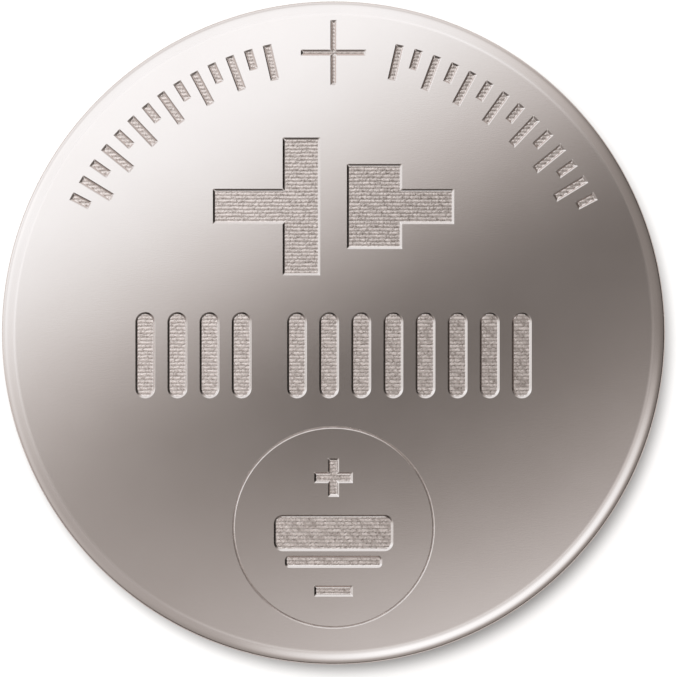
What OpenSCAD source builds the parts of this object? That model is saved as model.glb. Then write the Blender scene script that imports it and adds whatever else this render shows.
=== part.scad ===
// Lithium coin cell, 30 mm across and 3.2 mm high, lying on its negative cap.
// The marked positive face is up, +Y is the top of the face's marks, and the
// origin is the centre of the cap's contact face, on the surface it rests on.
// Every section is drawn as [distance from the axis, height].

/* [Cell] */
// Diameter over the positive case
cell_d = 30.0; // [24:0.1:36]
// Height from the cap's contact face to the marked face
cell_h = 3.2; // [2.6:0.05:4.2]

/* [Positive case] */
// Sheet thickness of the case
case_t = 0.25; // [0.2:0.01:0.3]
// Large outside radius on which the marked face turns down at its edge
face_edge_r = 1.0; // [0.85:0.01:1.15]
// Small outside radius that takes that edge into the wall
wall_corner_r = 0.12; // [0.08:0.01:0.16]
// Outside radius of the crimp that folds the wall in over the gasket
crimp_r = 1.2; // [0.98:0.01:1.44]
// Angle that the crimp turns through from the wall, in degrees
crimp_angle = 84; // [69:1:101]
// Height that the cap stands proud of the crimp
cap_stand = 0.15; // [0.1:0.01:0.25]

/* [Negative cap] */
// Sheet thickness of the cap
cap_t = 0.25; // [0.2:0.01:0.3]
// Outside radius round the cap's contact face
cap_edge_r = 0.36; // [0.3:0.01:0.45]
// Radius in the corner where the cap steps out to its shoulder
cap_step_r = 0.12; // [0.08:0.01:0.16]

/* [Gasket] */
// Thickness squeezed between the case wall and the cap wall
gasket_t = 0.3; // [0.24:0.01:0.36]
// Thickness between the cap's rim and the inside of the marked face
gasket_foot_t = 0.4; // [0.3:0.01:0.5]
// Thickness of the inner leg that holds the cap's rim
gasket_leg_t = 0.25; // [0.2:0.01:0.35]
// Height of that inner leg
gasket_leg_h = 0.35; // [0.25:0.01:0.5]
// Width of the ring that shows between the crimp and the cap
gasket_show = 0.3; // [0.24:0.01:0.4]
// Depth of that ring behind the crimp's lowest edge
gasket_sunk = 0.13; // [0.1:0.01:0.2]

/* [Electrodes] */
// Thickness of the lithium disc
lithium_t = 0.6; // [0.4:0.01:0.8]
// Free ring between the lithium disc and the cap's step
lithium_gap = 1.5; // [1:0.1:2]
// Thickness of the separator
separator_t = 0.15; // [0.1:0.01:0.2]
// Free ring between the separator and the cap's step
separator_gap = 0.15; // [0.1:0.01:0.3]
// Free ring between the cathode pellet and the gasket's inner leg
pellet_gap = 1.95; // [1.5:0.05:2.4]
// Bevel round both edges of the pressed pellet
pellet_bevel = 0.12; // [0.08:0.01:0.2]

/* [Current collector] */
// Thickness of the expanded metal
collector_t = 0.12; // [0.08:0.01:0.16]
// Distance between openings along a row
mesh_pitch_x = 2.6; // [2.1:0.1:3.2]
// Distance between openings across the rows
mesh_pitch_y = 1.5; // [1.2:0.05:1.8]
// Width of the strands
mesh_strand = 0.3; // [0.24:0.01:0.36]
// Width of the unbroken edge round the mesh
mesh_border = 0.4; // [0.3:0.05:0.6]

/* [Face marks] */
// Depth that the marks are pressed into the face
mark_depth = 0.1; // [0.06:0.005:0.13]
// Length of the plus mark's arms from end to end
plus_size = 2.95; // [2.4:0.05:3.5]
// Width of the plus mark's arms
plus_stroke = 0.28; // [0.2:0.01:0.4]
// Bare face beyond the plus mark
plus_margin = 0.22; // [0.15:0.01:0.5]
// Length of the long ticks
tick_long = 1.65; // [1.3:0.05:2]
// Length of the short ticks
tick_short = 0.95; // [0.7:0.05:1.2]
// Width of every tick
tick_stroke = 0.4; // [0.3:0.01:0.5]
// Bare face beyond the ticks
tick_margin = 1.0; // [0.8:0.05:1.3]
// Angle between the plus mark and the first tick, in degrees
tick_start = 13; // [11:0.5:16]
// Angle from one tick to the next, in degrees
tick_step = 3.8; // [3.1:0.1:4.6]
// Ticks on each side of the plus mark
tick_count = 14; // [8:1:17]
// Width of the electric cell symbol
symbol_w = 10.9; // [9:0.1:13]
// Stroke of the symbol's two leads
lead_stroke = 1.6; // [1.3:0.05:2]
// Thickness of the symbol's long plate
long_plate_t = 1.7; // [1.4:0.05:2.1]
// Thickness of the symbol's short plate
short_plate_t = 2.5; // [2:0.05:3]
// Height of the symbol's short plate
short_plate_h = 3.85; // [3.2:0.05:4.6]
// Space between the symbol's plates
plate_gap = 1.2; // [0.9:0.05:1.5]
// Bare face between the symbol and the plus mark
symbol_gap_above = 2.35; // [1.9:0.05:2.8]
// Bare face between the symbol and the row of bars
symbol_gap_below = 1.65; // [1.3:0.05:2]
// Height of the row of bars' middle above the centre of the face
row_y = -1.0; // [-1.5:0.1:-0.5]
// Height of the bars
bar_h = 3.9; // [3.2:0.1:4.7]
// Width of the bars
bar_w = 0.9; // [0.7:0.05:1.1]
// Distance from one bar to the next
bar_pitch = 1.45; // [1.2:0.05:1.75]
// Bars in the first group
bars_first = 4; // [2:1:5]
// Bars in the second group
bars_second = 8; // [4:1:10]
// Extra space between the two groups
bar_group_gap = 1.05; // [0.8:0.05:1.3]
// Bare face between the bars and the ring
ring_gap = 1.25; // [1:0.05:1.5]
// Bare face beyond the ring
ring_margin = 1.0; // [0.8:0.05:1.3]
// Width of the ring's fine line
ring_stroke = 0.12; // [0.1:0.01:0.16]
// Width of the case of the small cell drawn in the ring
small_case_w = 5.4; // [4.5:0.1:6.2]
// Height of the small cell's case
small_case_h = 1.65; // [1.35:0.05:2]
// Corner radius of the small cell's case
small_case_corner_r = 0.4; // [0.3:0.05:0.5]
// Width of the small cell's cap
small_cap_w = 4.4; // [3.6:0.1:5.2]
// Height of the small cell's cap
small_cap_h = 0.55; // [0.45:0.05:0.65]
// Corner radius of the small cell's cap
small_cap_corner_r = 0.2; // [0.12:0.01:0.22]
// Space between the small cell's case and cap
small_gap = 0.2; // [0.15:0.01:0.3]
// Length of the plus over the small cell and of the minus under it
sign_size = 1.75; // [1.4:0.05:2.1]
// Stroke of these two signs
sign_stroke = 0.5; // [0.4:0.02:0.6]
// Space between these signs and the small cell
sign_gap = 0.8; // [0.6:0.05:1]

/* [Hidden] */
$fn = 128;

steel = [0.66, 0.62, 0.59];

// Heights and radii that come from an angle are rounded, so that outlines meet exactly
function fine(length) = round(length * 10000) / 10000;

case_r = cell_d / 2;
// Inside of the case's wall and of its marked face
case_in_r = case_r - case_t;
case_floor_z = cell_h - case_t;
// The face's large edge radius meets the small one on the slope of a 3-4-5 triangle, where
// both arcs end at the same exact point
edge_turn = [0.6, 0.8];
edge_turn_angle = atan2(edge_turn.y, edge_turn.x);
edge_step = (face_edge_r - wall_corner_r) * edge_turn;
wall_corner_centre_r = case_r - wall_corner_r;
// The marked face is flat as far as this radius
face_r = wall_corner_centre_r - edge_step.x;
face_edge_z = cell_h - face_edge_r;
wall_corner_z = face_edge_z + edge_step.y;

// The crimp is part of a ring round this centre, and it ends at its inner and outer lip
crimp_in_r = crimp_r - case_t;
bend_r = case_r - crimp_r;
bend_z = fine(cap_stand + crimp_r * sin(min(crimp_angle, 90)));
lip_in_r = bend_r + crimp_in_r * cos(crimp_angle);
// Two outlines that meet along the crimp's end overlap by this angle
seam_overlap = 60;

// The cap follows the crimp inside the gasket, and its shoulder always keeps some flat
cap_bend_r = crimp_in_r - gasket_t;
cap_wall_r = case_in_r - gasket_t;
cap_wall_in_r = cap_wall_r - cap_t;
shoulder_min = 0.03;
cap_step_out_r = fine(min(lip_in_r - gasket_show, bend_r - cap_step_r - shoulder_min));
cap_step_in_r = cap_step_out_r - cap_t;
shoulder_z = bend_z - cap_bend_r;
rim_z = case_floor_z - gasket_foot_t;

// The gasket's showing ring meets the end of the crimp
gasket_end_z = cap_stand + gasket_sunk;
gasket_end_r = bend_r + (bend_z - gasket_end_z) * cos(crimp_angle) / sin(crimp_angle);
gasket_leg_r = cap_wall_in_r - gasket_leg_t;

// The stack, from the cap up to the marked face
lithium_r = cap_step_in_r - lithium_gap;
separator_r = cap_step_in_r - separator_gap;
separator_z = cap_t + lithium_t;
pellet_r = gasket_leg_r - pellet_gap;
pellet_z = separator_z + separator_t;
collector_z = case_floor_z - collector_t;
pellet_h = collector_z - pellet_z;

// The marks are stacked down the face, and the symbol and the ring take the space left
plus_y = face_r - plus_margin - plus_size / 2;
symbol_top = plus_y - plus_size / 2 - symbol_gap_above;
symbol_bottom = row_y + bar_h / 2 + symbol_gap_below;
symbol_h = symbol_top - symbol_bottom;
symbol_y = (symbol_top + symbol_bottom) / 2;
ring_top = row_y - bar_h / 2 - ring_gap;
ring_bottom = -face_r + ring_margin;
ring_r = (ring_top - ring_bottom) / 2;
ring_y = (ring_top + ring_bottom) / 2;

// The drawing in the ring is stacked too: minus, cap, case and plus, centred on the ring
drawing_h = sign_stroke + small_cap_h + small_gap + small_case_h + sign_size + 2 * sign_gap;
minus_sign_y = ring_y - (drawing_h - sign_stroke) / 2;
small_cap_y = minus_sign_y + (sign_stroke + small_cap_h) / 2 + sign_gap;
small_case_y = small_cap_y + (small_cap_h + small_case_h) / 2 + small_gap;
plus_sign_y = ring_y + (drawing_h - sign_size) / 2;

// What a cut adds past the surface that it starts from
cut_extra = 0.1;

// Part of a ring from one angle to another, less than 180 degrees on
module ring_sector(r_out, r_in, from, to) {
    reach = 4 * r_out;
    middle = (from + to) / 2;
    intersection() {
        difference() {
            circle(r_out);
            if (r_in > 0) circle(r_in);
        }
        polygon([[0, 0], reach * [cos(from), sin(from)],
            reach * [cos(middle), sin(middle)], reach * [cos(to), sin(to)]]);
    }
}

// A rectangle from its low corner to its high one
module span(low, high) {
    translate(low) square(high - low);
}

// A bar with round ends, upright and centred
module round_bar(w, h) {
    square([w, h - w], center = true);
    for (end = [-1, 1]) translate([0, end * (h - w) / 2]) circle(w / 2);
}

module plus_shape(size, stroke) {
    square([size, stroke], center = true);
    square([stroke, size], center = true);
}

// The case's sheet: marked face, its edge on two radii, wall and crimp
module case_section() {
    span([0, case_floor_z], [face_r, cell_h]);
    translate([face_r, face_edge_z])
        ring_sector(face_edge_r, face_edge_r - case_t, edge_turn_angle, 90);
    translate([wall_corner_centre_r, wall_corner_z])
        ring_sector(wall_corner_r, 0, 0, edge_turn_angle);
    span([case_in_r, bend_z], [case_r, wall_corner_z]);
    translate([bend_r, bend_z]) ring_sector(crimp_r, crimp_in_r, -crimp_angle, 0);
}

// All that the case encloses, down to the gasket's showing ring
module case_inside_section() {
    span([0, bend_z], [face_r, case_floor_z]);
    intersection() {
        translate([face_r, face_edge_z]) ring_sector(face_edge_r - case_t, 0, 0, 90);
        span([0, face_edge_z], [case_in_r, case_floor_z]);
    }
    span([0, bend_z], [case_in_r, face_edge_z]);
    translate([bend_r, bend_z])
        ring_sector(crimp_in_r, 0, -crimp_angle - seam_overlap, 0);
    polygon([[0, gasket_end_z], [gasket_end_r, gasket_end_z], [bend_r, bend_z],
        [0, bend_z]]);
}

// All that the cap encloses, up to its rim
module cap_outline_section() {
    span([0, 0], [cap_step_out_r, bend_z]);
    span([0, shoulder_z], [bend_r, bend_z]);
    translate([bend_r, bend_z]) ring_sector(cap_bend_r, 0, -90, 0);
    span([0, bend_z], [cap_wall_r, rim_z]);
    difference() {
        span([cap_step_out_r, shoulder_z - cap_step_r],
            [cap_step_out_r + cap_step_r, shoulder_z]);
        translate([cap_step_out_r + cap_step_r, shoulder_z - cap_step_r])
            circle(cap_step_r);
    }
}

// The cap's sheet: contact face, edge, step, shoulder, bend and wall
module cap_section() {
    span([0, 0], [cap_step_out_r - cap_edge_r, cap_t]);
    translate([cap_step_out_r - cap_edge_r, cap_edge_r])
        ring_sector(cap_edge_r, cap_edge_r - cap_t, -90, 0);
    span([cap_step_in_r, cap_edge_r], [cap_step_out_r, shoulder_z - cap_step_r]);
    translate([cap_step_out_r + cap_step_r, shoulder_z - cap_step_r])
        ring_sector(cap_step_r + cap_t, cap_step_r, 90, 180);
    span([cap_step_out_r + cap_step_r, shoulder_z], [bend_r, shoulder_z + cap_t]);
    translate([bend_r, bend_z])
        ring_sector(cap_bend_r, cap_bend_r - cap_t, -90, 0);
    span([cap_wall_in_r, bend_z], [cap_wall_r, rim_z]);
}

// The gasket fills what lies between the case and the cap, and grips the cap's rim
module gasket_section() {
    difference() {
        case_inside_section();
        cap_outline_section();
        span([-cut_extra, bend_z], [gasket_leg_r, cell_h]);
    }
    span([gasket_leg_r, rim_z - gasket_leg_h], [cap_wall_in_r, case_floor_z]);
}

// Ticks on both sides of the plus mark, long and short in turn
module tick_marks() {
    outer_r = face_r - tick_margin;
    for (side = [-1, 1], i = [0 : tick_count - 1]) {
        tick_h = i % 2 == 0 ? tick_long : tick_short;
        rotate(side * (tick_start + i * tick_step))
            translate([0, outer_r - tick_h / 2])
                square([tick_stroke, tick_h], center = true);
    }
}

// The circuit symbol of one electric cell: a long thin plate and a short thick one
module cell_symbol() {
    long_x = -(plate_gap + long_plate_t) / 2;
    short_x = (plate_gap + short_plate_t) / 2;
    translate([0, symbol_y]) {
        span([-symbol_w / 2, -lead_stroke / 2], [long_x, lead_stroke / 2]);
        translate([long_x, 0]) square([long_plate_t, symbol_h], center = true);
        translate([short_x, 0]) square([short_plate_t, short_plate_h], center = true);
        span([short_x, -lead_stroke / 2], [symbol_w / 2, lead_stroke / 2]);
    }
}

module bar_row() {
    bars = bars_first + bars_second;
    row_w = (bars - 1) * bar_pitch + bar_group_gap;
    for (i = [0 : bars - 1]) {
        shift = i < bars_first ? 0 : bar_group_gap;
        translate([i * bar_pitch + shift - row_w / 2, row_y]) round_bar(bar_w, bar_h);
    }
}

// The cell seen from the side in the ring, with a plus over the case and a minus under the cap
module polarity_ring() {
    translate([0, ring_y]) difference() {
        circle(ring_r);
        circle(ring_r - ring_stroke);
    }
    translate([0, plus_sign_y]) plus_shape(sign_size, sign_stroke);
    translate([0, small_case_y])
        rounded_plate(small_case_w, small_case_h, small_case_corner_r);
    translate([0, small_cap_y]) rounded_plate(small_cap_w, small_cap_h, small_cap_corner_r);
    translate([0, minus_sign_y]) square([sign_size, sign_stroke], center = true);
}

module rounded_plate(w, h, r) {
    square([w - 2 * r, h], center = true);
    square([w, h - 2 * r], center = true);
    for (x = [-1, 1], y = [-1, 1])
        translate([x * (w / 2 - r), y * (h / 2 - r)]) circle(r);
}

// Positive case: one drawn steel cup, marked on its face and crimped over the gasket
module positive_case() {
    color(steel) difference() {
        rotate_extrude() case_section();
        translate([0, 0, cell_h - mark_depth]) linear_extrude(mark_depth + cut_extra) {
            translate([0, plus_y]) plus_shape(plus_size, plus_stroke);
            tick_marks();
            cell_symbol();
            bar_row();
            polarity_ring();
        }
    }
}

// Negative cap: one drawn steel cup with a stepped shoulder
module negative_cap() {
    color(steel) rotate_extrude() cap_section();
}

// Gasket: the polypropylene ring that seals the cell and insulates the cap
module gasket() {
    color([0.80, 0.80, 0.77]) rotate_extrude() gasket_section();
}

// Lithium anode: a punched metal disc pressed onto the inside of the cap
module lithium_anode() {
    color([0.62, 0.63, 0.66]) translate([0, 0, cap_t]) cylinder(h = lithium_t, r = lithium_r);
}

// Separator: a disc of non-woven polypropylene
module separator() {
    color([0.93, 0.93, 0.91])
        translate([0, 0, separator_z]) cylinder(h = separator_t, r = separator_r);
}

// Cathode pellet: pressed manganese dioxide and graphite, bevelled by its die
module cathode_pellet() {
    color([0.10, 0.10, 0.10]) translate([0, 0, pellet_z]) rotate_extrude()
        polygon([[0, 0], [pellet_r - pellet_bevel, 0], [pellet_r, pellet_bevel],
            [pellet_r, pellet_h - pellet_bevel], [pellet_r - pellet_bevel, pellet_h],
            [0, pellet_h]]);
}

// Current collector: a disc of expanded steel between the pellet and the case
module current_collector() {
    opening = [mesh_pitch_x - mesh_strand * 2, mesh_pitch_y - mesh_strand] / 2;
    reach = pellet_r - mesh_border;
    rows = ceil(2 * reach / mesh_pitch_y);
    columns = ceil(reach / mesh_pitch_x);
    color(steel) translate([0, 0, collector_z]) linear_extrude(collector_t) difference() {
        circle(pellet_r);
        for (j = [-rows : rows], i = [-columns : columns]) {
            centre = [(i + (j % 2 == 0 ? 0 : 0.5)) * mesh_pitch_x, j * mesh_pitch_y / 2];
            if (norm(centre) + opening.x < reach)
                translate(centre) polygon([[-opening.x, 0], [0, -opening.y],
                    [opening.x, 0], [0, opening.y]]);
        }
    }
}

positive_case();
negative_cap();
gasket();
lithium_anode();
separator();
cathode_pellet();
current_collector();
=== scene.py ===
"""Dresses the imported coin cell: steel case with its pressed marks, cap, gasket and stack."""
import math

import bpy
import numpy as np
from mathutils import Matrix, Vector
from mathutils.geometry import delaunay_2d_cdt


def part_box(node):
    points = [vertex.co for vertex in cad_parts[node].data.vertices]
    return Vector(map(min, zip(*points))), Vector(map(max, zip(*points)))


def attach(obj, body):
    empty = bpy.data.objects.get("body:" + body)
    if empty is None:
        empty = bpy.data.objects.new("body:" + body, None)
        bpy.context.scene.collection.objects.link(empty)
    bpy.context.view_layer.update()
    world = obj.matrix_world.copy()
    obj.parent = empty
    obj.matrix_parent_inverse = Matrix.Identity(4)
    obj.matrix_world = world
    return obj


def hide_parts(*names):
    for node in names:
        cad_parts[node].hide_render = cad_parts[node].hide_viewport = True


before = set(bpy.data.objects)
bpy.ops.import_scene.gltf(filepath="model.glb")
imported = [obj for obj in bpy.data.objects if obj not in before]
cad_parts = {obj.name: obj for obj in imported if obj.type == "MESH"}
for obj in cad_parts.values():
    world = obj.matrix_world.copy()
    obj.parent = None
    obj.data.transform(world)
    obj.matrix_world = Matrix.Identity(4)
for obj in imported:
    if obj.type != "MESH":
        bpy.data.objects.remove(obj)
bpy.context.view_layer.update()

# Lengths are in millimetres until a mesh is made
MM = 0.001
case_low, case_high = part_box("positive_case")
_, cap_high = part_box("negative_cap")
gasket_low, gasket_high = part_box("gasket")

# Positive case. The face's edge turns down on one radius and then on a smaller one at the wall,
# and the two meet in the direction of the edge turn
CASE_R = case_high.x / MM
CELL_H = case_high.z / MM
CAP_STAND = case_low.z / MM
CASE_T = CELL_H - gasket_high.z / MM
FACE_EDGE_R = 1.0
WALL_CORNER_R = 0.12
EDGE_TURN = (0.6, 0.8)
EDGE_TURN_ANGLE = math.degrees(math.atan2(EDGE_TURN[1], EDGE_TURN[0]))
WALL_CORNER_CENTRE_R = CASE_R - WALL_CORNER_R
FACE_R = WALL_CORNER_CENTRE_R - (FACE_EDGE_R - WALL_CORNER_R) * EDGE_TURN[0]
FACE_EDGE_Z = CELL_H - FACE_EDGE_R
WALL_CORNER_Z = FACE_EDGE_Z + (FACE_EDGE_R - WALL_CORNER_R) * EDGE_TURN[1]
CRIMP_R = 1.2
CRIMP_IN_R = CRIMP_R - CASE_T
CRIMP_ANGLE = 84
BEND_R = CASE_R - CRIMP_R
BEND_Z = CAP_STAND + CRIMP_R * math.sin(math.radians(CRIMP_ANGLE))

# Negative cap
CAP_WALL_R = cap_high.x / MM
CAP_RIM_Z = cap_high.z / MM
CAP_T = 0.25
CAP_EDGE_R = 0.36
CAP_STEP_R = 0.12
GASKET_T = CASE_R - CASE_T - CAP_WALL_R
GASKET_SHOW = 0.3
CAP_BEND_R = CRIMP_IN_R - GASKET_T
CAP_STEP_OUT_R = BEND_R + CRIMP_IN_R * math.cos(math.radians(CRIMP_ANGLE)) - GASKET_SHOW
SHOULDER_Z = BEND_Z - CAP_BEND_R

# Gasket
GASKET_END_Z = gasket_low.z / MM
GASKET_LEG_T = 0.25
GASKET_LEG_H = 0.35

# Marks pressed into the face
MARK_DEPTH = 0.1
PLUS_SIZE = 2.95
PLUS_STROKE = 0.28
PLUS_MARGIN = 0.22
TICK_LONG = 1.65
TICK_SHORT = 0.95
TICK_STROKE = 0.4
TICK_MARGIN = 1.0
TICK_START = 13
TICK_STEP = 3.8
TICK_COUNT = 14
SYMBOL_W = 10.9
LEAD_STROKE = 1.6
LONG_PLATE_T = 1.7
SHORT_PLATE_T = 2.5
SHORT_PLATE_H = 3.85
PLATE_GAP = 1.2
SYMBOL_GAP_ABOVE = 2.35
SYMBOL_GAP_BELOW = 1.65
ROW_Y = -1.0
BAR_H = 3.9
BAR_W = 0.9
BAR_PITCH = 1.45
BARS_FIRST = 4
BARS_SECOND = 8
BAR_GROUP_GAP = 1.05
RING_GAP = 1.25
RING_MARGIN = 1.0
RING_STROKE = 0.12
SMALL_CASE_W = 5.4
SMALL_CASE_H = 1.65
SMALL_CASE_CORNER_R = 0.4
SMALL_CAP_W = 4.4
SMALL_CAP_H = 0.55
SMALL_CAP_CORNER_R = 0.2
SMALL_GAP = 0.2
SIGN_SIZE = 1.75
SIGN_STROKE = 0.5
SIGN_GAP = 0.8

# The marks are stacked down the face
PLUS_Y = FACE_R - PLUS_MARGIN - PLUS_SIZE / 2
SYMBOL_TOP = PLUS_Y - PLUS_SIZE / 2 - SYMBOL_GAP_ABOVE
SYMBOL_BOTTOM = ROW_Y + BAR_H / 2 + SYMBOL_GAP_BELOW
SYMBOL_H = SYMBOL_TOP - SYMBOL_BOTTOM
SYMBOL_Y = (SYMBOL_TOP + SYMBOL_BOTTOM) / 2
RING_TOP = ROW_Y - BAR_H / 2 - RING_GAP
RING_BOTTOM = -FACE_R + RING_MARGIN
RING_R = (RING_TOP - RING_BOTTOM) / 2
RING_Y = (RING_TOP + RING_BOTTOM) / 2
DRAWING_H = SIGN_STROKE + SMALL_CAP_H + SMALL_GAP + SMALL_CASE_H + SIGN_SIZE + 2 * SIGN_GAP
MINUS_SIGN_Y = RING_Y - (DRAWING_H - SIGN_STROKE) / 2
SMALL_CAP_Y = MINUS_SIGN_Y + (SIGN_STROKE + SMALL_CAP_H) / 2 + SIGN_GAP
SMALL_CASE_Y = SMALL_CAP_Y + (SMALL_CAP_H + SMALL_CASE_H) / 2 + SMALL_GAP
PLUS_SIGN_Y = RING_Y + (DRAWING_H - SIGN_SIZE) / 2

# The press leaves a rounded shoulder and a steep wall round each mark, given as shares of the
# wall's width and of the mark's depth down to the ridges of its floor
WALL_RUN = 0.108
WALL_SHARE = 0.45
GROOVE_DEPTH = 0.04
SHOULDER = [(0.05, 0.03), (0.13, 0.11), (0.83, 0.78)]
RIDGE_PITCH = 0.16
RIDGE_HEIGHT = 0.022
RIDGE_WANDER = 0.004
WANDER_LENGTHS = (0.31, 0.42)
WANDER_TWIST = 1.3
RIDGE_SWELL = 0.15
SWELL_LENGTHS = (0.17, 0.11)

# Points of a floor: rows to each ridge, their spacing along it, and how far they keep off the
# walls as a share of the rows' spacing
ROWS_PER_RIDGE = 6
FLOOR_STEP = 0.12
FLOOR_CLEARANCE = 0.8
OUTLINE_STEP = RIDGE_PITCH / 3

# The finishes of the case, by their place in its list
PLATED, PRESSED, FINE_GROOVE = range(3)

# Facets round the cell, the fine ring, a mark's corner and a quarter turn of a section, and the
# angle past which a section's corner stays sharp
AROUND = 320
RING_AROUND = 192
CORNER_STEPS = 8
QUARTER = 14
SHARP_ANGLE = 30

# A narrow band at the edge of a flat face keeps its shading flat
FLAT_BAND = 0.04

# Points closer than this are one, and a mitred corner isn't drawn out past a share
SAME_POINT = 1e-6
MITRE_SHARE = 0.3

# What the triangulation is asked for: only what lies inside the loops, to this precision
INSIDE_LOOPS = 1
PRECISION = 1e-7


# Outlines on the face, as points in millimetres

def arc(centre, radius, start, end, steps):
    """Points of an arc, angles in degrees, both ends included."""
    turns = [math.radians(start + (end - start) * i / steps) for i in range(steps + 1)]
    x, y = centre
    return [(x + radius * math.cos(turn), y + radius * math.sin(turn)) for turn in turns]


def circle_outline(centre, radius, steps):
    return arc(centre, radius, 0, 360, steps)[:-1]


def box_outline(centre, width, height):
    x, y = centre
    dx, dy = width / 2, height / 2
    return [(x - dx, y - dy), (x + dx, y - dy), (x + dx, y + dy), (x - dx, y + dy)]


def rounded_box_outline(centre, width, height, radius):
    """A rectangle with round corners; a capsule where the radius is half its width."""
    x, y = centre
    dx, dy = width / 2 - radius, height / 2 - radius
    corners = [(x + dx, y + dy), (x - dx, y + dy), (x - dx, y - dy), (x + dx, y - dy)]
    points = []
    for quarter, corner in enumerate(corners):
        points += arc(corner, radius, quarter * 90, quarter * 90 + 90, CORNER_STEPS)
    return without_repeats(points)


def plus_outline(centre, size, stroke):
    x, y = centre
    reach, half = size / 2, stroke / 2
    quarter = [(reach, -half), (reach, half), (half, half)]
    points = []
    for turn in range(4):
        points += [turned(p, turn * 90) for p in quarter]
    return without_repeats([(x + px, y + py) for px, py in points])


def turned(point, degrees):
    """The point turned about the centre of the face."""
    x, y = point
    cosine, sine = math.cos(math.radians(degrees)), math.sin(math.radians(degrees))
    return (x * cosine - y * sine, x * sine + y * cosine)


def without_repeats(points):
    kept = []
    for i, point in enumerate(points):
        if math.dist(point, points[i - 1]) > SAME_POINT:
            kept.append(point)
    return kept


def plate_with_lead(lead_end, plate_x, plate_t, plate_h):
    """One half of the cell symbol: an upright plate with its lead on one side."""
    side = math.copysign(1, lead_end)
    near, far = plate_x - side * plate_t / 2, plate_x + side * plate_t / 2
    lead, plate = LEAD_STROKE / 2, plate_h / 2
    upper = [(lead_end, lead), (far, lead), (far, plate), (near, plate)]
    lower = [(x, -y) for x, y in reversed(upper)]
    points = [(x, SYMBOL_Y + y) for x, y in lower + upper]
    return points if side > 0 else points[::-1]


def edge_parts(points):
    """How many parts each edge of an outline is divided into."""
    lengths = [math.dist(point, points[(i + 1) % len(points)]) for i, point in enumerate(points)]
    return [max(1, round(length / OUTLINE_STEP)) for length in lengths]


def divided(points, parts):
    """The outline with more points along its straight edges."""
    result = []
    for i, start in enumerate(points):
        end = points[(i + 1) % len(points)]
        for k in range(parts[i]):
            share = k / parts[i]
            x = start[0] + (end[0] - start[0]) * share
            y = start[1] + (end[1] - start[1]) * share
            result.append((x, y))
    return result


def moved_in(points, distance):
    """The outline moved to its left, with mitred corners."""
    result = []
    for i, point in enumerate(points):
        before, after = Vector(points[i - 1]), Vector(points[(i + 1) % len(points)])
        here = Vector(point)
        first, second = (here - before).normalized(), (after - here).normalized()
        normal = Vector((-first.y - second.y, first.x + second.x))
        normal.normalize()
        reach = distance / max(MITRE_SHARE, normal.dot(Vector((-first.y, first.x))))
        result.append(tuple(here + normal * reach))
    return result


# A mark is its loops and the width of its thinnest stroke. The pressed side is left of a loop

def tick_marks():
    outer = FACE_R - TICK_MARGIN
    marks = []
    for side in (-1, 1):
        for i in range(TICK_COUNT):
            length = TICK_LONG if i % 2 == 0 else TICK_SHORT
            tick = box_outline((0, outer - length / 2), TICK_STROKE, length)
            angle = side * (TICK_START + i * TICK_STEP)
            marks.append(([[turned(p, angle) for p in tick]], TICK_STROKE))
    return marks


def cell_symbol():
    long_x = -(PLATE_GAP + LONG_PLATE_T) / 2
    short_x = (PLATE_GAP + SHORT_PLATE_T) / 2
    long_half = plate_with_lead(-SYMBOL_W / 2, long_x, LONG_PLATE_T, SYMBOL_H)
    short_half = plate_with_lead(SYMBOL_W / 2, short_x, SHORT_PLATE_T, SHORT_PLATE_H)
    return [([long_half], LEAD_STROKE), ([short_half], LEAD_STROKE)]


def bar_row():
    bars = BARS_FIRST + BARS_SECOND
    row_w = (bars - 1) * BAR_PITCH + BAR_GROUP_GAP
    marks = []
    for i in range(bars):
        shift = 0 if i < BARS_FIRST else BAR_GROUP_GAP
        x = i * BAR_PITCH + shift - row_w / 2
        marks.append(([rounded_box_outline((x, ROW_Y), BAR_W, BAR_H, BAR_W / 2)], BAR_W))
    return marks


def polarity_ring():
    """A fine ring round the cell seen from the side, with a plus above it and a minus below."""
    outside = circle_outline((0, RING_Y), RING_R, RING_AROUND)
    inside = circle_outline((0, RING_Y), RING_R - RING_STROKE, RING_AROUND)[::-1]
    case_middle = (0, SMALL_CASE_Y)
    case_side = rounded_box_outline(case_middle, SMALL_CASE_W, SMALL_CASE_H, SMALL_CASE_CORNER_R)
    cap_side = rounded_box_outline((0, SMALL_CAP_Y), SMALL_CAP_W, SMALL_CAP_H, SMALL_CAP_CORNER_R)
    plus = plus_outline((0, PLUS_SIGN_Y), SIGN_SIZE, SIGN_STROKE)
    minus = box_outline((0, MINUS_SIGN_Y), SIGN_SIZE, SIGN_STROKE)
    return [
        ([outside, inside], RING_STROKE),
        ([case_side], SMALL_CASE_H),
        ([cap_side], SMALL_CAP_H),
        ([plus], SIGN_STROKE),
        ([minus], SIGN_STROKE),
    ]


# Meshes

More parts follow.
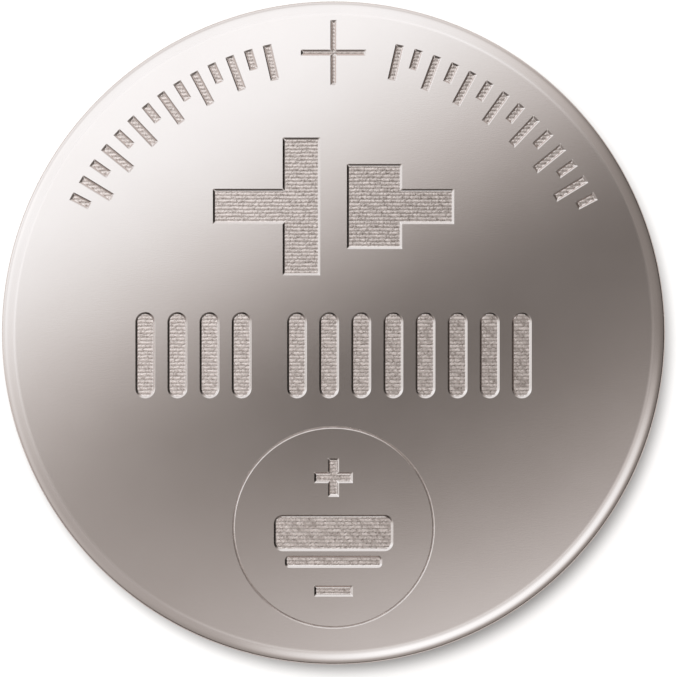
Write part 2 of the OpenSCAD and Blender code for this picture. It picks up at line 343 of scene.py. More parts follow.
class Surface:
    """Points and faces of one mesh, in millimetres."""

    def __init__(self):
        self.points = []
        self.faces = []
        self.finishes = []
        self.sharp = set()

    def add(self, points):
        first = len(self.points)
        self.points += points
        return list(range(first, len(self.points)))

    def face(self, corners, finish=0):
        self.faces.append(tuple(corners))
        self.finishes.append(finish)

    def ring(self, radius, height):
        return self.add([(x, y, height) for x, y in circle_outline((0, 0), radius, AROUND)])

    def skin(self, outer, inner, finish=0):
        """Quads between two closed rows of points, facing left of outer's direction."""
        for i in range(len(outer)):
            self.face((outer[i - 1], outer[i], inner[i], inner[i - 1]), finish)

    def crease(self, row):
        for i in range(len(row)):
            self.sharp.add(frozenset((row[i - 1], row[i])))

    def make(self, name, finishes):
        mesh = bpy.data.meshes.new(name)
        mesh.from_pydata([tuple(c * MM for c in p) for p in self.points], [], self.faces)
        for material in finishes:
            mesh.materials.append(material)
        mesh.polygons.foreach_set("material_index", self.finishes)
        mesh.shade_smooth()
        if self.sharp:
            flags = [frozenset(e.vertices) in self.sharp for e in mesh.edges]
            sharp = mesh.attributes.new("sharp_edge", "BOOLEAN", "EDGE")
            sharp.data.foreach_set("value", flags)
        mesh.update()
        piece = bpy.data.objects.new(name, mesh)
        bpy.context.scene.collection.objects.link(piece)
        return piece


def inside_mask(points, loops):
    """Which points lie inside the loops, holes left out."""
    inside = np.zeros(len(points), bool)
    for loop in loops:
        starts = np.array(loop)
        ends = np.roll(starts, -1, axis=0)
        for (x0, y0), (x1, y1) in zip(starts, ends):
            if y0 == y1:
                continue
            crosses = (points[:, 1] >= min(y0, y1)) & (points[:, 1] < max(y0, y1))
            reach = x0 + (points[:, 1] - y0) * (x1 - x0) / (y1 - y0)
            inside ^= crosses & (points[:, 0] < reach)
    return inside


def clear_mask(points, loops, distance):
    """Which points lie further than the distance from every loop."""
    clear = np.ones(len(points), bool)
    for loop in loops:
        starts = np.array(loop)
        ways = np.roll(starts, -1, axis=0) - starts
        for start, way in zip(starts, ways):
            offset = points - start
            share = np.clip(offset @ way / (way ** 2).sum(), 0, 1)
            clear &= ((offset - share[:, None] * way) ** 2).sum(1) > distance ** 2
    return clear


def straight_ridge(y):
    """Height of the ridges above the floor's lowest level, where they meet the walls."""
    return RIDGE_HEIGHT * (0.5 + 0.5 * np.sin(2 * math.pi * y / RIDGE_PITCH))


def ridge(points):
    """Height of the ridges between the walls, where they wander and swell a little."""
    x, y = points[:, 0], points[:, 1]
    twist = WANDER_TWIST * np.sin(y / WANDER_LENGTHS[1])
    wander = RIDGE_WANDER * np.sin(x / WANDER_LENGTHS[0] + twist)
    swell = 1 - RIDGE_SWELL + RIDGE_SWELL * np.sin(x / SWELL_LENGTHS[0] + y / SWELL_LENGTHS[1])
    return straight_ridge(y + wander) * swell


def floor_points(loops):
    """Points of a mark's floor that lie between its walls, in rows along the ridges."""
    corners = np.concatenate([np.array(loop) for loop in loops])
    low, high = corners.min(0), corners.max(0)
    row_gap = RIDGE_PITCH / ROWS_PER_RIDGE
    rows = np.arange(math.ceil(low[1] / row_gap), high[1] / row_gap) * row_gap
    columns = np.arange(math.ceil(low[0] / FLOOR_STEP), high[0] / FLOOR_STEP) * FLOOR_STEP
    if not len(rows) or not len(columns):
        return np.zeros((0, 2))
    grid = np.stack(np.meshgrid(columns, rows), -1)
    grid[1::2, :, 0] += FLOOR_STEP / 2
    grid = grid.reshape(-1, 2)
    grid = grid[inside_mask(grid, loops)]
    return grid[clear_mask(grid, loops, row_gap * FLOOR_CLEARANCE)]


def fill(surface, loops, rows, height, finish, extra=None):
    """Triangles inside flat loops of points that the surface already has, holes left out."""
    flat = [p for loop in loops for p in loop]
    index = [i for row in rows for i in row]
    if extra is not None and len(extra):
        heights = height + ridge(extra)
        index += surface.add([(x, y, z) for (x, y), z in zip(extra.tolist(), heights.tolist())])
        flat += extra.tolist()
    limits, first = [], 0
    for loop in loops:
        corners = list(range(first, first + len(loop)))
        limits.append(corners if area(loop) > 0 else corners[::-1])
        first += len(loop)
    vectors = [Vector(p) for p in flat]
    result = delaunay_2d_cdt(vectors, [], limits, INSIDE_LOOPS, PRECISION)
    _, _, faces, sources, _, owners = result
    for corners, inside in zip(faces, owners):
        if len(inside) % 2 == 1:
            surface.face([index[sources[c][0]] for c in corners], finish)


def area(loop):
    """Above 0 where the loop turns to the left."""
    return sum(loop[i - 1][0] * p[1] - p[0] * loop[i - 1][1] for i, p in enumerate(loop)) / 2


def press_mark(surface, loops, stroke, rows):
    """Sloping walls below each loop of a mark, and the ridged floor between them."""
    run = min(WALL_RUN, stroke * WALL_SHARE)
    fine = run < WALL_RUN
    depth = GROOVE_DEPTH if fine else MARK_DEPTH
    wall_finish = FINE_GROOVE if fine else PLATED
    floor_finish = FINE_GROOVE if fine else PRESSED
    floor_loops, floor_rows = [], []
    for loop, top in zip(loops, rows):
        parts = edge_parts(loop)
        surface.crease(top)
        above = top
        for inset, share in SHOULDER:
            outline = divided(moved_in(loop, run * inset), parts)
            below = surface.add([(x, y, CELL_H - depth * share) for x, y in outline])
            surface.skin(above, below, wall_finish)
            above = below
        surface.crease(above)
        outline = divided(moved_in(loop, run), parts)
        lift = [0 if fine else straight_ridge(y) for _, y in outline]
        foot = surface.add([(x, y, CELL_H - depth + up) for (x, y), up in zip(outline, lift)])
        surface.skin(above, foot, wall_finish)
        surface.crease(foot)
        floor_loops.append(outline)
        floor_rows.append(foot)
    fill(surface, floor_loops, floor_rows, CELL_H - depth, floor_finish, floor_points(floor_loops))


def lathe(surface, profile, start=None, creases=()):
    """Skins a section's (radius, height) points turned about the axis, going down the outside."""
    above = start
    for i, (radius, height) in enumerate(profile):
        if radius < SAME_POINT:
            centre = surface.add([(0, 0, height)])[0]
            for k in range(AROUND):
                surface.face((above[k - 1], centre, above[k]))
            return
        row = surface.ring(radius, height)
        if above is not None:
            surface.skin(row, above)
        if i in creases:
            surface.crease(row)
        above = row


def sharp_turns(profile):
    """The points where a closed section turns a corner that isn't rounded."""
    turns = []
    for i, point in enumerate(profile):
        here, back = Vector(point), Vector(profile[i - 1])
        ahead = Vector(profile[(i + 1) % len(profile)])
        if (here - back).angle(ahead - here) > math.radians(SHARP_ANGLE):
            turns.append(i)
    return turns


def inner_edge():
    """The inside of the face's turned edge, from the wall up to the flat."""
    inner_r = FACE_EDGE_R - CASE_T
    start = math.degrees(math.acos((CASE_R - CASE_T - FACE_R) / inner_r))
    return arc((FACE_R, FACE_EDGE_Z), inner_r, start, 90, QUARTER)


def case_profile():
    """The case's section from the face's edge down the outside and back up the inside."""
    edge, bend = (FACE_R, FACE_EDGE_Z), (BEND_R, BEND_Z)
    wall_corner = (WALL_CORNER_CENTRE_R, WALL_CORNER_Z)
    points = arc(edge, FACE_EDGE_R, 90, EDGE_TURN_ANGLE, QUARTER)
    points += arc(wall_corner, WALL_CORNER_R, EDGE_TURN_ANGLE, 0, QUARTER // 2)[1:]
    points += arc(bend, CRIMP_R, 0, -CRIMP_ANGLE, QUARTER)
    points += arc(bend, CRIMP_IN_R, -CRIMP_ANGLE, 0, QUARTER)
    points += inner_edge()
    points.append((0, CELL_H - CASE_T))
    return points


def make_case(finishes):
    surface = Surface()
    plus = ([plus_outline((0, PLUS_Y), PLUS_SIZE, PLUS_STROKE)], PLUS_STROKE)
    marks = [plus, *tick_marks(), *cell_symbol(), *bar_row(), *polarity_ring()]
    edge_loop = circle_outline((0, 0), FACE_R - FLAT_BAND, AROUND)
    edge = surface.ring(FACE_R - FLAT_BAND, CELL_H)
    face_loops, face_rows, mark_rows = [edge_loop], [edge], []
    for loops, stroke in marks:
        edges = [divided(loop, edge_parts(loop)) for loop in loops]
        rows = [surface.add([(x, y, CELL_H) for x, y in loop]) for loop in edges]
        mark_rows.append(rows)
        face_loops += edges
        face_rows += rows
    fill(surface, face_loops, face_rows, CELL_H, PLATED)
    for (loops, stroke), rows in zip(marks, mark_rows):
        press_mark(surface, loops, stroke, rows)
    profile = case_profile()
    lathe(surface, profile, edge, sharp_turns(profile)[1:])
    return surface.make("case_shell", finishes)


def cap_profile():
    """The cap's section from the middle of its contact face out to its rim and back inside."""
    step = (CAP_STEP_OUT_R - CAP_EDGE_R, CAP_EDGE_R)
    notch = (CAP_STEP_OUT_R + CAP_STEP_R, SHOULDER_Z - CAP_STEP_R)
    bend = (BEND_R, BEND_Z)
    points = [(CAP_STEP_OUT_R - CAP_EDGE_R - FLAT_BAND, 0)]
    points += arc(step, CAP_EDGE_R, -90, 0, QUARTER)
    points += arc(notch, CAP_STEP_R, 180, 90, QUARTER // 2)
    points += arc(bend, CAP_BEND_R, -90, 0, QUARTER)
    points += [(CAP_WALL_R, CAP_RIM_Z), (CAP_WALL_R - CAP_T, CAP_RIM_Z)]
    points += arc(bend, CAP_BEND_R - CAP_T, 0, -90, QUARTER)
    points += arc(notch, CAP_STEP_R + CAP_T, 90, 180, QUARTER // 2)
    points += arc(step, CAP_EDGE_R - CAP_T, 0, -90, QUARTER // 2)
    return without_repeats(points)


def make_cap(steel):
    surface = Surface()
    profile = cap_profile()
    rows = [surface.ring(radius, height) for radius, height in profile]
    for above, below in zip(rows, rows[1:]):
        surface.skin(above, below)
    rim = [i for i, (radius, height) in enumerate(profile) if height == CAP_RIM_Z]
    for i in rim:
        surface.crease(rows[i])
    low = surface.add([(0, 0, 0)])[0]
    high = surface.add([(0, 0, CAP_T)])[0]
    for k in range(AROUND):
        surface.face((rows[0][k - 1], low, rows[0][k]))
        surface.face((rows[-1][k], high, rows[-1][k - 1]))
    return surface.make("cap_shell", [steel])


def gasket_profile():
    """The gasket's section, from its showing ring up to the case's floor and round the cap."""
    bend = (BEND_R, BEND_Z)
    slope = math.radians(CRIMP_ANGLE)
    end_r = BEND_R + (BEND_Z - GASKET_END_Z) * math.cos(slope) / math.sin(slope)
    leg_r = CAP_WALL_R - CAP_T - GASKET_LEG_T
    notch = (CAP_STEP_OUT_R + CAP_STEP_R, SHOULDER_Z - CAP_STEP_R)
    points = [(CAP_STEP_OUT_R, GASKET_END_Z), (end_r, GASKET_END_Z)]
    points += arc(bend, CRIMP_IN_R, -CRIMP_ANGLE, 0, QUARTER)
    points += inner_edge()
    points += [(leg_r, CELL_H - CASE_T), (leg_r, CAP_RIM_Z - GASKET_LEG_H)]
    points += [(CAP_WALL_R - CAP_T, CAP_RIM_Z - GASKET_LEG_H), (CAP_WALL_R - CAP_T, CAP_RIM_Z)]
    points += [(CAP_WALL_R, CAP_RIM_Z)]
    points += arc(bend, CAP_BEND_R, 0, -90, QUARTER)
    points += arc(notch, CAP_STEP_R, 90, 180, QUARTER // 2)
    return without_repeats(points)


def make_gasket(plastic):
    surface = Surface()
    profile = gasket_profile()
    rows = [surface.ring(radius, height) for radius, height in profile]
    for i in range(len(rows)):
        surface.skin(rows[i - 1], rows[i])
    for i in sharp_turns(profile):
        surface.crease(rows[i])
    return surface.make("gasket_ring", [plastic])


# Shaders

class Value:
    """A shader socket that takes part in Python expressions."""

    def __init__(self, graph, socket):
        self.graph = graph
        self.socket = socket

    def math(self, operation, *others):
        return self.graph.node("ShaderNodeMath", {"operation": operation}, [self, *others])

    def __add__(self, other):
        return self.math("ADD", other)

    def __radd__(self, other):
        return self.math("ADD", other)

    def __sub__(self, other):
        return self.math("SUBTRACT", other)

    def __rsub__(self, other):
        return self.graph.node("ShaderNodeMath", {"operation": "SUBTRACT"}, [other, self])

    def __mul__(self, other):
        return self.math("MULTIPLY", other)

    def __rmul__(self, other):
        return self.math("MULTIPLY", other)

    def __truediv__(self, other):
        return self.math("DIVIDE", other)

    def smooth(self, low, high):
        """0 at the first value and 1 at the second, with a soft start and end."""
        ease = {"interpolation_type": "SMOOTHSTEP"}
        return self.graph.node("ShaderNodeMapRange", ease, [self, low, high, 0.0, 1.0])

    def between(self, low, high):
        """The low number where this is 0, the high one where it is 1."""
        return low + (high - low) * self


class Graph:
    """Builds the node tree of one material, lamp card or world."""

    def __init__(self, owner):
        owner.use_nodes = True
        self.tree = owner.node_tree
        self.tree.nodes.clear()

    def node(self, kind, settings=None, sockets=None, output=0):
        """A node with its settings made first, then the values or links of its sockets."""
        made = self.tree.nodes.new(kind)
        for name, value in (settings or {}).items():
            setattr(made, name, value)
        pairs = sockets.items() if isinstance(sockets, dict) else enumerate(sockets or [])
        for key, value in pairs:
            if isinstance(value, Value):
                self.tree.links.new(value.socket, made.inputs[key])
            else:
                made.inputs[key].default_value = value
        return Value(self, made.outputs[output])

    def place(self, scale=(1, 1, 1)):
        """The point on the surface in millimetres, stretched by the scale."""
        point = self.node("ShaderNodeTexCoord", output="Object")
        stretch = [s / MM for s in scale]
        return self.node("ShaderNodeVectorMath", {"operation": "MULTIPLY"}, [point, stretch])

    def length(self, vector):
        return self.node("ShaderNodeVectorMath", {"operation": "LENGTH"}, [vector], "Value")

    def split(self, vector):
        """The three parts of a vector."""
        parts = self.node("ShaderNodeSeparateXYZ", {}, [vector]).socket.node.outputs
        return [Value(self, part) for part in parts]

    def noise(self, scale, detail, stretch=(1, 1, 1)):
        """Noise from 0 to 1, its grain 1/scale millimetres across."""
        sockets = {"Vector": self.place(stretch), "Scale": scale, "Detail": detail}
        return self.node("ShaderNodeTexNoise", {}, sockets)

    def mix(self, share, first, second):
        """The first colour where the share is 0, the second where it is 1."""
        # The node has a pair of sockets for each kind of value, 6 and 7 for colours
        sockets = {0: share, 6: first, 7: second}
        return self.node("ShaderNodeMix", {"data_type": "RGBA"}, sockets, 2)

    def bump(self, height, distance):
        sockets = {"Strength": 1.0, "Distance": distance * MM, "Height": height}
        return self.node("ShaderNodeBump", {}, sockets)

    def finish(self, shader, kind="ShaderNodeOutputMaterial"):
        made = self.tree.nodes.new(kind)
        self.tree.links.new(shader.socket, made.inputs["Surface"])


# Finishes

def new_material(name):
    """A new material, and the graph that builds it."""
    material = bpy.data.materials.new(name)
    return material, Graph(material)


def principled(graph, **sockets):
    named = {key.replace("_", " ").title(): value for key, value in sockets.items()}
    return graph.node("ShaderNodeBsdfPrincipled", {}, named)


# Nickel plating: clean, dulled by handling, on the drawn wall, whose darker tone is partly painted
# shade, on the corner above it, painted darker still as shade, and its tint at grazing angles
STEEL = (0.68, 0.60, 0.565, 1)
STEEL_WORN = (0.64, 0.56, 0.525, 1)
DRAWN_WALL_TONE_AND_SHADE = (0.52, 0.45, 0.42, 1)
PAINTED_CORNER_SHADE = (0.34, 0.29, 0.27, 1)
STEEL_EDGE = (0.45, 0.43, 0.42, 1)

# The marks' floors and the fine ring, each at its dullest and at its brightest
PRESSED_LOW = (0.33, 0.27, 0.24, 1)
PRESSED_HIGH = (0.72, 0.60, 0.55, 1)
# The fine ring's tones are darker than the plating, as painted shade in its groove
GROOVE_DARK = (0.50, 0.43, 0.40, 1)
GROOVE_LIGHT = (0.70, 0.61, 0.57, 1)

# What brightens a floor: its ridge crests, as wear and as painted highlight over painted shade in
# the valleys, fine stitches across them and painted light towards the left, less what dulls all of
# it. The ranges run from nothing to all
STITCHES = (0.36, 0.64)
LEFT_PAINTED_LIGHT = (9.0, -9.0)
RIDGE_SHARE = 0.66
STITCH_SHARE = 0.32
SIDE_SHARE = 0.4
FLOOR_DULLNESS = 0.16

# The other pieces, each from its darkest to its lightest
MILKY_PLASTIC = ((0.57, 0.57, 0.52, 1), (0.66, 0.66, 0.61, 1))
DULL_LITHIUM = ((0.24, 0.25, 0.28, 1), (0.46, 0.47, 0.50, 1))
WHITE_FELT = ((0.62, 0.62, 0.58, 1), (0.88, 0.88, 0.85, 1))
BLACK_POWDER = ((0.006, 0.006, 0.006, 1), (0.03, 0.03, 0.032, 1))
BARE_STEEL = ((0.38, 0.36, 0.34, 1), (0.55, 0.53, 0.51, 1))


def plated_steel():
    """Nickel plating on the case: a rolled grain on the face, lines of the die down the wall, and
    painted shade on the wall, darkest on its top corner.
    """
    material, graph = new_material("plated_steel")
    cloud = graph.noise(scale=0.35, detail=3.0)
    grain = graph.noise(scale=6.0, stretch=(0.5, 9.0, 1.0), detail=3.0)
    speckle = graph.noise(scale=16.0, detail=2.0)
    die_lines = graph.noise(scale=5.0, stretch=(1.0, 1.0, 0.06), detail=3.0)
    height = graph.split(graph.place())[2]
    corner_top = WALL_CORNER_Z + WALL_CORNER_R * EDGE_TURN[1]
    wall = height.smooth(corner_top, WALL_CORNER_Z)
    # Painted shade: darkest on the corner at the top of the wall, and a little less dark on the
    # wall below it
    below_corner = height.smooth(WALL_CORNER_Z, WALL_CORNER_Z - WALL_CORNER_R)
    drawn_tone_and_shade = graph.mix(below_corner, PAINTED_CORNER_SHADE, DRAWN_WALL_TONE_AND_SHADE)
    flat = graph.mix(cloud, STEEL_WORN, STEEL)
    relief = grain + 0.6 * speckle + wall * die_lines * 3
    graph.finish(principled(
        graph,
        base_color=graph.mix(wall * die_lines.between(0.7, 1.0), flat, drawn_tone_and_shade),
        roughness=cloud.between(0.12, 0.14) + 0.03 * grain + wall * die_lines.between(0.06, 0.16),
        metallic=1.0,
        specular_tint=STEEL_EDGE,
        normal=graph.bump(relief, distance=0.0006),
    ))
    return material


def pressed_steel():
    """Floor of the marks: ridges rubbed bright and valleys dull, partly wear and partly painted
    highlight and shade, with painted light towards the left and stitches in the valleys.
    """
    material, graph = new_material("pressed_steel")
    stitches = graph.noise(scale=1.0, stretch=(8.0, 7.0, 1.0), detail=2.0).smooth(*STITCHES)
    x, _, z = graph.split(graph.place())
    floor = CELL_H - MARK_DEPTH
    # Crests are painted lighter than the valleys, partly as wear and partly as painted highlight
    # and shade, and floors towards the left are painted lighter as light
    crest_wear_and_highlight = z.smooth(floor, floor + RIDGE_HEIGHT)
    wear_and_painted_light = RIDGE_SHARE * crest_wear_and_highlight + STITCH_SHARE * stitches + SIDE_SHARE * x.smooth(*LEFT_PAINTED_LIGHT)
    graph.finish(principled(
        graph,
        base_color=graph.mix(wear_and_painted_light - FLOOR_DULLNESS, PRESSED_LOW, PRESSED_HIGH),
        roughness=stitches.between(0.27, 0.35),
        metallic=1.0,
        normal=graph.bump(stitches, distance=0.008),
    ))
    return material


def groove_steel():
    """Walls and floor of the fine ring: steel darkened as painted shade in the groove, with a
    random tarnish.
    """
    material, graph = new_material("groove_steel")
    tarnish = graph.noise(scale=3.0, detail=3.0)
    graph.finish(principled(
        graph,
        base_color=graph.mix(tarnish, GROOVE_DARK, GROOVE_LIGHT),
        roughness=tarnish.between(0.22, 0.30),
        metallic=1.0,
        normal=graph.bump(tarnish, distance=0.001),
    ))
    return material


def cap_steel():
    """Nickel plating on the cap: finer satin, with a straight rolled grain."""
    material, graph = new_material("cap_steel")
    cloud = graph.noise(scale=0.3, detail=3.0)
    grain = graph.noise(scale=8.0, stretch=(9.0, 0.35, 1.0), detail=3.0)
    graph.finish(principled(
        graph,
        base_color=graph.mix(cloud, STEEL_WORN, STEEL),
        roughness=grain.between(0.24, 0.29),
        metallic=1.0,
        normal=graph.bump(grain, distance=0.0012),
    ))
    return material


def natural_polypropylene():
    """Gasket: milky unpainted plastic, a little waxy."""
    material, graph = new_material("natural_polypropylene")
    cloud = graph.noise(scale=0.8, detail=3.0)
    graph.finish(principled(
        graph,
        base_color=graph.mix(cloud, *MILKY_PLASTIC),
        roughness=cloud.between(0.42, 0.50),
        normal=graph.bump(cloud, distance=0.004),
    ))
    return material


def rolled_lithium():
    """Anode: soft metal with a dull skin and the marks of its rolls."""
    material, graph = new_material("rolled_lithium")
    bloom = graph.noise(scale=0.5, detail=5.0)
    rolled = graph.noise(scale=3.0, stretch=(0.2, 5.0, 1.0), detail=2.0)
    graph.finish(principled(
        graph,
        base_color=graph.mix(bloom, *DULL_LITHIUM),
        roughness=bloom.between(0.38, 0.58),
        metallic=0.9,
        normal=graph.bump(rolled, distance=0.004),
    ))
    return material


def separator_felt():
    """Separator: matted white fibres that lie two ways."""
    material, graph = new_material("separator_felt")
    long_fibres = graph.noise(scale=4.0, stretch=(1.0, 5.0, 1.0), detail=4.0)
    cross_fibres = graph.noise(scale=4.0, stretch=(5.0, 1.0, 1.0), detail=4.0)
    fibres = long_fibres * 0.5 + cross_fibres * 0.5
    graph.finish(principled(
        graph,
        base_color=graph.mix(fibres, *WHITE_FELT),
        roughness=0.9,
        normal=graph.bump(fibres, distance=0.02),
    ))
    return material


def pressed_powder():
    """Cathode pellet: black powder with a few glints of graphite."""
    material, graph = new_material("pressed_powder")
    grit = graph.noise(scale=9.0, detail=4.0)
    graph.finish(principled(
        graph,
        base_color=graph.mix(grit, *BLACK_POWDER),
        roughness=grit.between(0.75, 0.45),
        normal=graph.bump(grit, distance=0.02),
    ))
    return material


def expanded_steel():
    """Current collector: bare steel strands, brighter where they were stretched."""
    material, graph = new_material("expanded_steel")
    pulled = graph.noise(scale=2.5, stretch=(1.0, 2.0, 1.0), detail=3.0)
    graph.finish(principled(
        graph,
        base_color=graph.mix(pulled, *BARE_STEEL),
        roughness=pulled.between(0.32, 0.44),
        metallic=1.0,
        normal=graph.bump(pulled, distance=0.004),
    ))
    return material


# Camera, lights and floor

PHOTO_W = 680
PX_PER_MM = 22.1
CELL_MIDDLE_PX = (333.5, 333.0)
PHOTO_MIDDLE_PX = (340.0, 338.5)
LENS = 150
SENSOR = 36
CAMERA_DISTANCE = LENS * PHOTO_W / PX_PER_MM / SENSOR
NEAREST_SEEN = 5
FURTHEST_SEEN = 5000


def make_camera():
    data = bpy.data.cameras.new("camera")
    data.lens = LENS
    data.sensor_width = SENSOR
    data.clip_start = NEAREST_SEEN * MM
    data.clip_end = FURTHEST_SEEN * MM
    camera = bpy.data.objects.new("camera", data)
    right = (PHOTO_MIDDLE_PX[0] - CELL_MIDDLE_PX[0]) / PX_PER_MM
    down = (PHOTO_MIDDLE_PX[1] - CELL_MIDDLE_PX[1]) / PX_PER_MM
    camera.location = Vector((right, -down, WALL_CORNER_Z + CAMERA_DISTANCE)) * MM
    bpy.context.scene.collection.objects.link(camera)
    bpy.context.scene.camera = camera


def stage_plane(name, width, depth, centre, material):
    """A flat stage piece that lies level."""
    x, y = width / 2, depth / 2
    mesh = bpy.data.meshes.new(name)
    corners = [(-x, -y, 0), (x, -y, 0), (x, y, 0), (-x, y, 0)]
    mesh.from_pydata([tuple(c * MM for c in p) for p in corners], [], [(0, 1, 2, 3)])
    mesh.materials.append(material)
    plane = bpy.data.objects.new(name, mesh)
    plane.location = Vector(centre) * MM
    bpy.context.scene.collection.objects.link(plane)
    return plane


# Light of the studio is a level, 1 for plain white, and is warmer where it is dim
DIM_TINT = (1.03, 0.97, 0.92, 1)
BRIGHT_TINT = (0.915, 1.0, 1.055, 1)
BRIGHTEST = 1.5

# The softbox over the face: bright at the upper left, a dark band past the middle, brighter again
# at the lower right. Its places are millimetres across the face that mirrors it
CARD_H = 80
CARD_R = 46
CARD_FEATHER = 16
BAND_ACROSS = (0.50, -0.865)
BAND_LEVEL = 0.189
BRIGHT_SIDE = (1.74, -12.8)
BRIGHT_GAIN = 1.43
FAR_SIDE = 2.2
FAR_RISE = 0.00375
FAR_MOST = 0.9
LOW_ACROSS = (0.341, 0.94)
LOW_SIDE = (-2.3, -14.7)
LOW_SHARE = 0.235
LOW_LEVEL = 1.5

# The studio round the cell: a bright wall at the upper left with a dimmer gap low across it, a
# strip light at the lower right, a dim wall at the lower left, and a dark foot all round. Edges,
# feet and tops run from nothing to all; edges by the direction, feet and tops by the height.
# Straight up no direction leads sideways, so what it is divided by is kept above a least number
KEY_AZIMUTH = 120
KEY_EDGE = (-0.1, 0.85)
KEY_LEVEL = 1.23
KEY_GAP_FOOT = (0.24, 0.32)
KEY_GAP_TOP = (0.36, 0.48)
KEY_GAP_LOSS = 0.33
ROOM_LEVEL = 0.33
ROOM_LOW = 0.8
ROOM_FOOT = (0.15, 0.35)
STRIP_AZIMUTH = -56
STRIP_EDGE = (0.55, 0.98)
STRIP_FOOT = (0.36, 0.76)
STRIP_LOW = 0.09
STRIP_TOP = (0.86, 0.97)
STRIP_TOP_LOSS = 0.45
STRIP_LEVEL = 1.25
SIDE_AZIMUTH = -120
SIDE_EDGE = (0.2, 1.0)
SIDE_LEVEL = 0.25
LOW_PANEL_AZIMUTH = 185
LOW_PANEL_EDGE = (0.5, 1.0)
LOW_PANEL_LEVEL = 0.3
LEAST_SIDEWAYS = 0.001

# A lamp that lights the table from the upper left, so that the cell has its shadow
LAMP_TILT = 14
LAMP_SPREAD = 20
LAMP_STRENGTH = 1.4

# The table glows to the camera and to gloss, less where the cell stands and a little beyond it to
# the lower right, as a painted shadow
TABLE_SIZE = 12000
TABLE_WHITE = (0.475, 0.45, 0.435, 1)
TABLE_GLOW = 0.55
SHADE_MIDDLE = (0.22, -0.36)
SHADE_EDGE = (14.85, 15.8)
SHADED = (0.12, 0.12, 0.12, 1)
UNSHADED = (1, 1, 1, 1)


def tinted(graph, level):
    return graph.mix(level / BRIGHTEST, DIM_TINT, BRIGHT_TINT)


def softbox_light():
    """A round softbox with a feathered rim, whose light slopes across it."""
    material, graph = new_material("softbox")
    spread = 1 + CARD_H / CAMERA_DISTANCE
    place = graph.place()
    x, y = graph.split(place)[:2]
    across = (x * BAND_ACROSS[0] + y * BAND_ACROSS[1]) / spread
    lower = (x * LOW_ACROSS[0] + y * LOW_ACROSS[1]) / spread
    past = (across - FAR_SIDE).math("MAXIMUM", 0.0)
    rise = (past * past * FAR_RISE).math("MINIMUM", FAR_MOST)
    level = BAND_LEVEL + BRIGHT_GAIN * across.smooth(*BRIGHT_SIDE) + rise
    low = LOW_SHARE * lower.smooth(*LOW_SIDE)
    level = level * (1 - low) + LOW_LEVEL * low
    lit = graph.node("ShaderNodeEmission", {}, [tinted(graph, level), level])
    clear = graph.node("ShaderNodeBsdfTransparent")
    outside = graph.length(place).smooth(CARD_R - CARD_FEATHER, CARD_R)
    graph.finish(graph.node("ShaderNodeMixShader", {}, [outside, lit, clear]))
    card = stage_plane("softbox", CARD_R * 2, CARD_R * 2, (0, 0, CELL_H + CARD_H), material)
    card.visible_camera = False
    card.visible_shadow = False


def studio_world():
    """Walls of the studio, with their lights."""
    world = bpy.data.worlds.new("studio")
    bpy.context.scene.world = world
    graph = Graph(world)
    way = graph.node("ShaderNodeTexCoord", output="Generated")
    x, y, z = graph.split(way)
    sideways = (1 - z * z).math("MAXIMUM", LEAST_SIDEWAYS).math("SQRT")

    def towards(azimuth):
        """1 straight towards the azimuth, -1 straight away from it."""
        turn = math.radians(azimuth)
        return (x * math.cos(turn) + y * math.sin(turn)) / sideways

    high = z.smooth(*STRIP_FOOT)
    gap = z.smooth(*KEY_GAP_FOOT) * (1 - z.smooth(*KEY_GAP_TOP))
    key = KEY_LEVEL * towards(KEY_AZIMUTH).smooth(*KEY_EDGE) * (1 - KEY_GAP_LOSS * gap)
    side = SIDE_LEVEL * towards(SIDE_AZIMUTH).smooth(*SIDE_EDGE)
    room = (ROOM_LEVEL + side) * high.between(ROOM_LOW, 1) * z.smooth(*ROOM_FOOT)
    strip = STRIP_LEVEL * towards(STRIP_AZIMUTH).smooth(*STRIP_EDGE) * high.between(STRIP_LOW, 1)
    strip = strip * (1 - STRIP_TOP_LOSS * z.smooth(*STRIP_TOP))
    low_panel = LOW_PANEL_LEVEL * towards(LOW_PANEL_AZIMUTH).smooth(*LOW_PANEL_EDGE) * (1 - high)
    level = room + key + low_panel + strip
    light = {"Color": tinted(graph, level), "Strength": level}
    graph.finish(graph.node("ShaderNodeBackground", {}, light), "ShaderNodeOutputWorld")


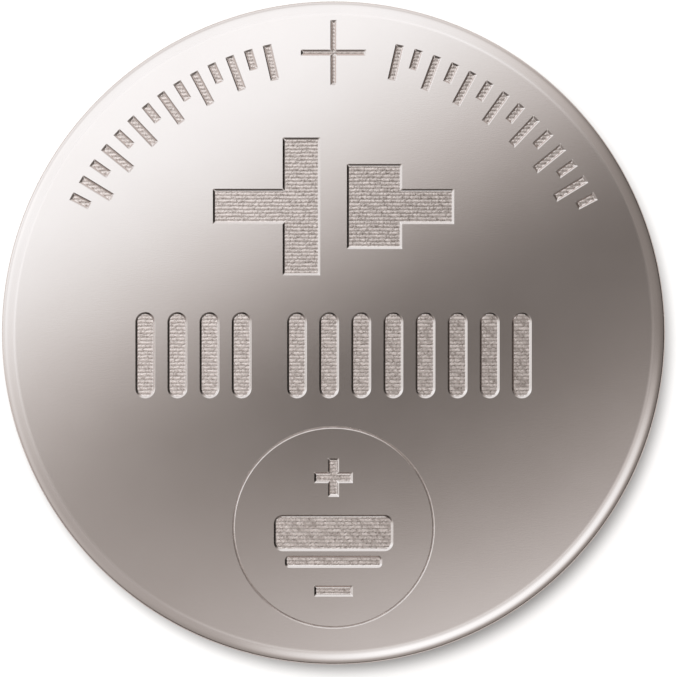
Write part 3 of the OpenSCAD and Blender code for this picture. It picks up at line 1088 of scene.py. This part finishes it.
def shadow_lamp():
    data = bpy.data.lights.new("shadow_lamp", "SUN")
    data.energy = LAMP_STRENGTH
    data.angle = math.radians(LAMP_SPREAD)
    lamp = bpy.data.objects.new("shadow_lamp", data)
    lamp.rotation_euler = (math.radians(LAMP_TILT), 0, math.radians(KEY_AZIMUTH + 90))
    lamp.visible_glossy = False
    bpy.context.scene.collection.objects.link(lamp)


def make_floor():
    """White table, which keeps the cell's shadow, with a shadow painted into its glow round the
    cell.
    """
    material, graph = new_material("white_table")
    seen = None
    for ray in ("Is Camera Ray", "Is Glossy Ray", "Is Transmission Ray"):
        one = graph.node("ShaderNodeLightPath", output=ray)
        seen = one if seen is None else seen.math("MAXIMUM", one)
    paper = graph.node("ShaderNodeBsdfDiffuse", {}, {"Color": TABLE_WHITE})
    # A shadow painted into the glow, round a middle shifted to the lower right of the cell
    places = [graph.place(), (*SHADE_MIDDLE, 0)]
    offset = graph.node("ShaderNodeVectorMath", {"operation": "SUBTRACT"}, places)
    light = graph.mix(graph.length(offset).smooth(*SHADE_EDGE), SHADED, UNSHADED)
    glow = graph.node("ShaderNodeEmission", {}, {"Color": light, "Strength": seen * TABLE_GLOW})
    graph.finish(graph.node("ShaderNodeAddShader", {}, [paper, glow]))
    stage_plane("table", TABLE_SIZE, TABLE_SIZE, (0, 0, 0), material)


def dress():
    case_finishes = [plated_steel(), pressed_steel(), groove_steel()]
    pieces = [
        (make_case(case_finishes), "positive_case", "case_steel"),
        (make_cap(cap_steel()), "negative_cap", "cap_steel"),
        (make_gasket(natural_polypropylene()), "gasket", "gasket_plastic"),
    ]
    for piece, node, slot in pieces:
        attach(piece, "root")
        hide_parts(node)
    inner = {
        "lithium_anode": rolled_lithium(),
        "separator": separator_felt(),
        "cathode_pellet": pressed_powder(),
        "current_collector": expanded_steel(),
    }
    for node, material in inner.items():
        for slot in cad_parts[node].material_slots:
            slot.material = material


make_camera()
dress()
make_floor()
softbox_light()
studio_world()
shadow_lamp()

bpy.context.scene.view_settings.view_transform = "Standard"
